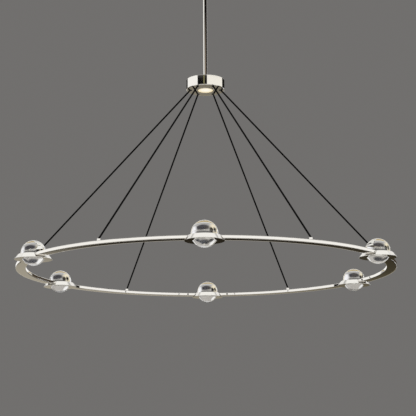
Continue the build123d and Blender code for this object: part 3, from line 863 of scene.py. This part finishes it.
# CAD solids that stay as they are, mostly out of sight
keptNodes = {
    "platedSteel": ["ceiling_bracket", "threaded_nipple", "nipple_nut", "stem_plug", "hub_nut", "cable_stops",
                    "ferrule_nuts"],
    "driverCase": ["led_driver", "supply_terminal", "hub_terminal"],
    "sinkAluminium": ["hub_posts", "downlight_heatsink"],
    "greenBrass": ["ground_screw"], "wireJacket": ["stem_wire"], "boardWhite": ["downlight_board"],
    "chipYellow": ["light_chips"],
}
for keptFinish, nodeNames in keptNodes.items():
    for nodeName in nodeNames:
        coat(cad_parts[nodeName].data, keptFinish)

# studio: grey backdrop, pale floor, a soft box overhead and curved cards for the polished metal to mirror;
# angles run from +X to +Y, sizes are millimetres
studio = {"backdrop": (0.165, 0.160, 0.155), "fill": (0.95, 0.94, 0.92)}
floor = {"height": -5600.0, "radius": 14000.0, "tones": ((0.60, 0.59, 0.57), (0.66, 0.65, 0.63)),
         "speck": (6.0, 4.0), "rough": 0.8, "steps": 128}
softBox = {"middle": (0, -900, 3000), "size": (6400, 7600), "light": 0.95, "tone": (1.0, 0.985, 0.96)}
cardRadius, cardSteps = 9500.0, 96
white, black = (0.98, 0.97, 0.95), (0.004, 0.004, 0.004)
cards = {  # angles, heights, tone, and a radius where the card stands elsewhere
    "belt": ((76, 393), (-2100, 850), white),
    "brownBelt": ((33, 76), (-2100, 850), (0.060, 0.046, 0.030)),
    "paleBack": ((40, 140), (850, 2200), (0.90, 0.89, 0.87)),
    "paleRound": ((140, 400), (850, 2200), (0.62, 0.61, 0.59)),
    "highLeft": ((133, 222), (2200, 2730), white),
    "highRight": ((280, 393), (2200, 2730), (0.95, 0.925, 0.86)),
    "highLine": ((258, 266), (2200, 2730), (0.20, 0.19, 0.10)),
    "highBack": ((33, 133), (2200, 2730), (0.010, 0.009, 0.008)),
    "highFront": ((222, 280), (1500, 2730), black, 9600.0),
    "stemBack": ((50, 216), (2730, 4000), (0.95, 0.94, 0.91)),
    "stemEdge": ((216, 240), (2730, 4000), (0.030, 0.022, 0.016)),
    "stemMiddle": ((240, 306), (2730, 4000), black),
    "stemRight": ((306, 410), (2730, 4000), (0.012, 0.009, 0.007)),
    "paleDome": ((-10, 190), (4000, 9500), (0.88, 0.87, 0.855)),
    "frontDome": ((190, 350), (4000, 9500), (0.34, 0.335, 0.325)),
    "paneRight": ((16, 22), (-1150, -450), black, 3100.0),
    "paneLeft": ((158, 164), (-1150, -450), black, 3100.0),
    "sideCard": ((26, 66), (-2330, -1050), (0.95, 0.95, 0.98), 4200.0),
}
paleFoot = {"card": "stemMiddle", "tone": (0.30, 0.25, 0.20), "height": 900}
roof = {"height": 9500.0, "bands": [(-3600, (0.36, 0.355, 0.345)), (-2200, (0.95, 0.945, 0.925)),
                                    (2600, (0.95, 0.945, 0.925)), (5000, (0.50, 0.495, 0.48))]}
apron = {"foot": -2348.0, "inner": 1900.0, "radius": 4400.0, "fold": -2180.0, "top": -1000.0,
         "halfWidth": 1300.0,
         "left": [(0.0, (0.024, 0.020, 0.014)), (0.12, (0.33, 0.30, 0.24)), (0.45, (0.42, 0.385, 0.31)),
                  (1.0, (0.75, 0.72, 0.66))],
         "right": [(0.0, (0.020, 0.016, 0.010)), (0.22, (0.055, 0.046, 0.028)), (0.45, (0.26, 0.225, 0.15)),
                   (1.0, (0.75, 0.72, 0.66))]}
# what shows through the crystal balls, in degrees: bands by rise, then soft ovals by side angle and rise,
# three times round
crystalSky = {
    "bands": [(-90, (0.58, 0.56, 0.53)), (-64, (0.52, 0.49, 0.42)), (-55, (0.24, 0.135, 0.022)),
              (-43, (0.62, 0.46, 0.14)), (-38, (0.16, 0.085, 0.015)), (-36, (0.80, 0.77, 0.71)),
              (-33, (0.70, 0.70, 0.69)), (-29, (0.34, 0.33, 0.33)), (0, (0.56, 0.54, 0.51)),
              (3, (0.12, 0.115, 0.11)), (10, (0.14, 0.135, 0.13)), (15, (0.44, 0.415, 0.385)),
              (58, (0.42, 0.395, 0.365)), (66, (0.62, 0.61, 0.60)), (90, (0.90, 0.90, 0.90))],
    "frontBands": [(-90, (0.55, 0.54, 0.52)), (-40, (0.50, 0.49, 0.47)), (-30, (0.70, 0.69, 0.67)),
                   (-22, (0.36, 0.35, 0.34)), (4, (0.20, 0.195, 0.19)), (24, (0.42, 0.41, 0.40)),
                   (60, (0.62, 0.61, 0.60)), (90, (0.90, 0.90, 0.90))],
    "frontFade": 0.15, "repeat": 60.0,
    "patches": [  # side and half width, rise and half height, tone
        (7, 29, -10.5, 12, (0.030, 0.027, 0.034)),
        (50, 26, -3, 21, (0.97, 0.96, 0.99)),
        (-46, 30, -12, 24, (0.86, 0.76, 0.56)),
        (-23, 8.5, -3, 10, (0.002, 0.001, 0.0005)),
        (-40, 9.5, -6, 11, (0.002, 0.001, 0.0005)),
        (-46, 22, 42, 20, (0.97, 0.96, 0.96)),
    ],
}
# dark ovals high above the ring's back half, seen through the lower halves of the balls in front:
# place along Y, side and half width, height and half height
darkOvals = {"tone": (0.020, 0.022, 0.030), "margin": 1.1,
             "ovals": [(690, -805, 460, -380, 400), (700, 0, 640, -140, 480), (710, 805, 460, -380, 400)]}
ovalFade = (0.35, 1.15)


def ramp(value, stops):
    node = value.id_data.nodes.new("ShaderNodeValToRGB")
    fill(node, {0: value})
    marks = node.color_ramp.elements
    while len(marks) < len(stops):
        marks.new(0.5)
    for mark, (spot, tone) in zip(marks, stops):
        mark.position = spot
        mark.color = (*tone, 1)
    return node.outputs[0]


def oval(side, rise, sideMiddle, sideHalf, riseMiddle, riseHalf):  # 1 in its middle, fading to 0 at its edge
    across = calc("DIVIDE", calc("SUBTRACT", side, sideMiddle), sideHalf)
    upDown = calc("DIVIDE", calc("SUBTRACT", rise, riseMiddle), riseHalf)
    return spread(plus(calc("POWER", across, 2.0), calc("POWER", upDown, 2.0)), 1.0, 0.0, *ovalFade)


def makeCrystalSky(tree, s):
    x, y, z = split(addNode(tree, "ShaderNodeTexCoord")["Generated"])
    rise = calc("DEGREES", calc("ARCSINE", z))
    side = calc("WRAP", calc("DEGREES", calc("ARCTAN2", x, y)), s["repeat"], -s["repeat"])
    height = spread(rise, 0.0, 1.0, -90.0, 90.0)
    front, back = (ramp(height, [((turn + 90) / 180, tone) for turn, tone in s[bands]])
                   for bands in ("frontBands", "bands"))
    shown = tint(spread(y, 0.0, 1.0, -s["frontFade"], s["frontFade"]), front, back)
    for *patch, tone in s["patches"]:
        shown = tint(oval(side, rise, *patch), shown, tone)
    return shown


def makeWorld(s, through):
    world = bpy.data.worlds.new("studioTone")
    bpy.context.scene.world = world
    world.use_nodes = True
    tree = world.node_tree
    tree.nodes.clear()
    rays = addNode(tree, "ShaderNodeLightPath")
    shown, backdrop, sky = (addNode(tree, "ShaderNodeBackground", {"Color": tone})[0]
                            for tone in (s["fill"], s["backdrop"], makeCrystalSky(tree, through)))
    for ray, view in (("Is Camera Ray", backdrop), ("Is Glossy Ray", backdrop), ("Is Transmission Ray", sky)):
        shown = addNode(tree, "ShaderNodeMixShader", {0: rays[ray], 1: shown, 2: view})[0]
    addNode(tree, "ShaderNodeOutputWorld", {0: shown})


def hide(thing, *rays):
    for ray in rays:
        setattr(thing, "visible_" + ray, False)


def makeSoftBox(s):
    lamp = bpy.data.lights.new("softBox", "AREA")
    lamp.shape = "RECTANGLE"
    lamp.size, lamp.size_y = s["size"][0] * mm, s["size"][1] * mm
    lamp.energy = s["light"] * math.pi * lamp.size * lamp.size_y
    lamp.color = s["tone"]
    box = inScene("softBox", lamp)
    box.matrix_world = shift(*s["middle"])  # an area lamp shines down by itself
    hide(box, "camera", "transmission", "glossy")


def glowFinish(name):
    shader, where = newFinish(name)
    fill(shader, {"Base Color": (0, 0, 0), "Roughness": 1.0, "Specular IOR Level": 0.0,
                  "Emission Strength": 1.0})
    return shader, where


def stand(name, mesh, *hiddenFrom):
    coat(mesh, name)
    thing = inScene(name, mesh)
    hide(thing, *hiddenFrom)


def standCard(name, mesh):  # only the polished metal sees the cards
    stand(name, mesh, "camera", "diffuse", "transmission", "shadow")


def makeCard(name, turns, heights, tone, radius=cardRadius):
    work = bmesh.new()
    last = None
    for k in range(cardSteps + 1):
        turn = math.radians(turns[0] + (turns[1] - turns[0]) * k / cardSteps)
        x, y = radius * mm * math.cos(turn), radius * mm * math.sin(turn)
        pair = [work.verts.new((x, y, z * mm)) for z in heights]
        if last:
            work.faces.new((last[0], pair[0], pair[1], last[1]))
        last = pair
    shader, where = glowFinish(name)
    if name == paleFoot["card"]:
        foot = heights[0]
        rise = spread(split(where)["Z"], 0.0, 1.0, foot * mm, (foot + paleFoot["height"]) * mm)
        tone = tint(rise, paleFoot["tone"], tone)
    fill(shader, {"Emission Color": tone})
    standCard(name, meshFrom(name, work))


def makeRoof(s):
    shader, where = glowFinish("roof")
    back = spread(split(where)["Y"], 0.0, 1.0, -cardRadius * mm, cardRadius * mm)
    stops = [((y / cardRadius + 1) / 2, tone) for y, tone in s["bands"]]
    fill(shader, {"Emission Color": ramp(back, stops)})
    standCard("roof", spun("roof", [(0.0, s["height"]), (cardRadius, s["height"])], cardSteps, closed=False))


def makeApron(s):
    shader, where = glowFinish("apron")
    x, _, z = split(where)
    rise = spread(z, 0.0, 1.0, s["fold"] * mm, s["top"] * mm)
    over = spread(x, 0.0, 1.0, -s["halfWidth"] * mm, s["halfWidth"] * mm)
    fill(shader, {"Emission Color": tint(over, ramp(rise, s["left"]), ramp(rise, s["right"]))})
    outline = [(s["inner"], s["foot"]), (s["radius"], s["fold"]), (s["radius"], s["top"])]
    standCard("apron", spun("apron", outline, cardSteps, closed=False))


def makeDarkOvals(s):
    m = s["margin"]
    for y, *patch in s["ovals"]:
        side, reach, rise, height = patch
        work = bmesh.new()
        work.faces.new([work.verts.new(((side + x * reach) * mm, y * mm, (rise + z * height) * mm))
                        for x, z in ((-m, -m), (m, -m), (m, m), (-m, m))])
        shader, where = glowFinish("darkOval")
        spot = split(scaled(where, 1 / mm))
        fill(shader, {"Emission Color": s["tone"], "Alpha": oval(spot["X"], spot["Z"], *patch)})
        stand("darkOval", meshFrom("darkOval", work), "camera", "diffuse", "glossy", "shadow")


def makeFloor(s):
    shader, where = newFinish("paleFloor")
    fill(shader, {"Base Color": tint(noise(where, *s["speck"]), *s["tones"]), "Roughness": s["rough"]})
    outline = [(0.0, s["height"]), (s["radius"], s["height"])]
    stand("paleFloor", spun("paleFloor", outline, s["steps"], closed=False), "transmission")


makeWorld(studio, crystalSky)
makeSoftBox(softBox)
for cardName, cardSettings in cards.items():
    makeCard(cardName, *cardSettings)
makeRoof(roof)
makeApron(apron)
makeDarkOvals(darkOvals)
makeFloor(floor)
print("studio lit,", len(cards), "cards")
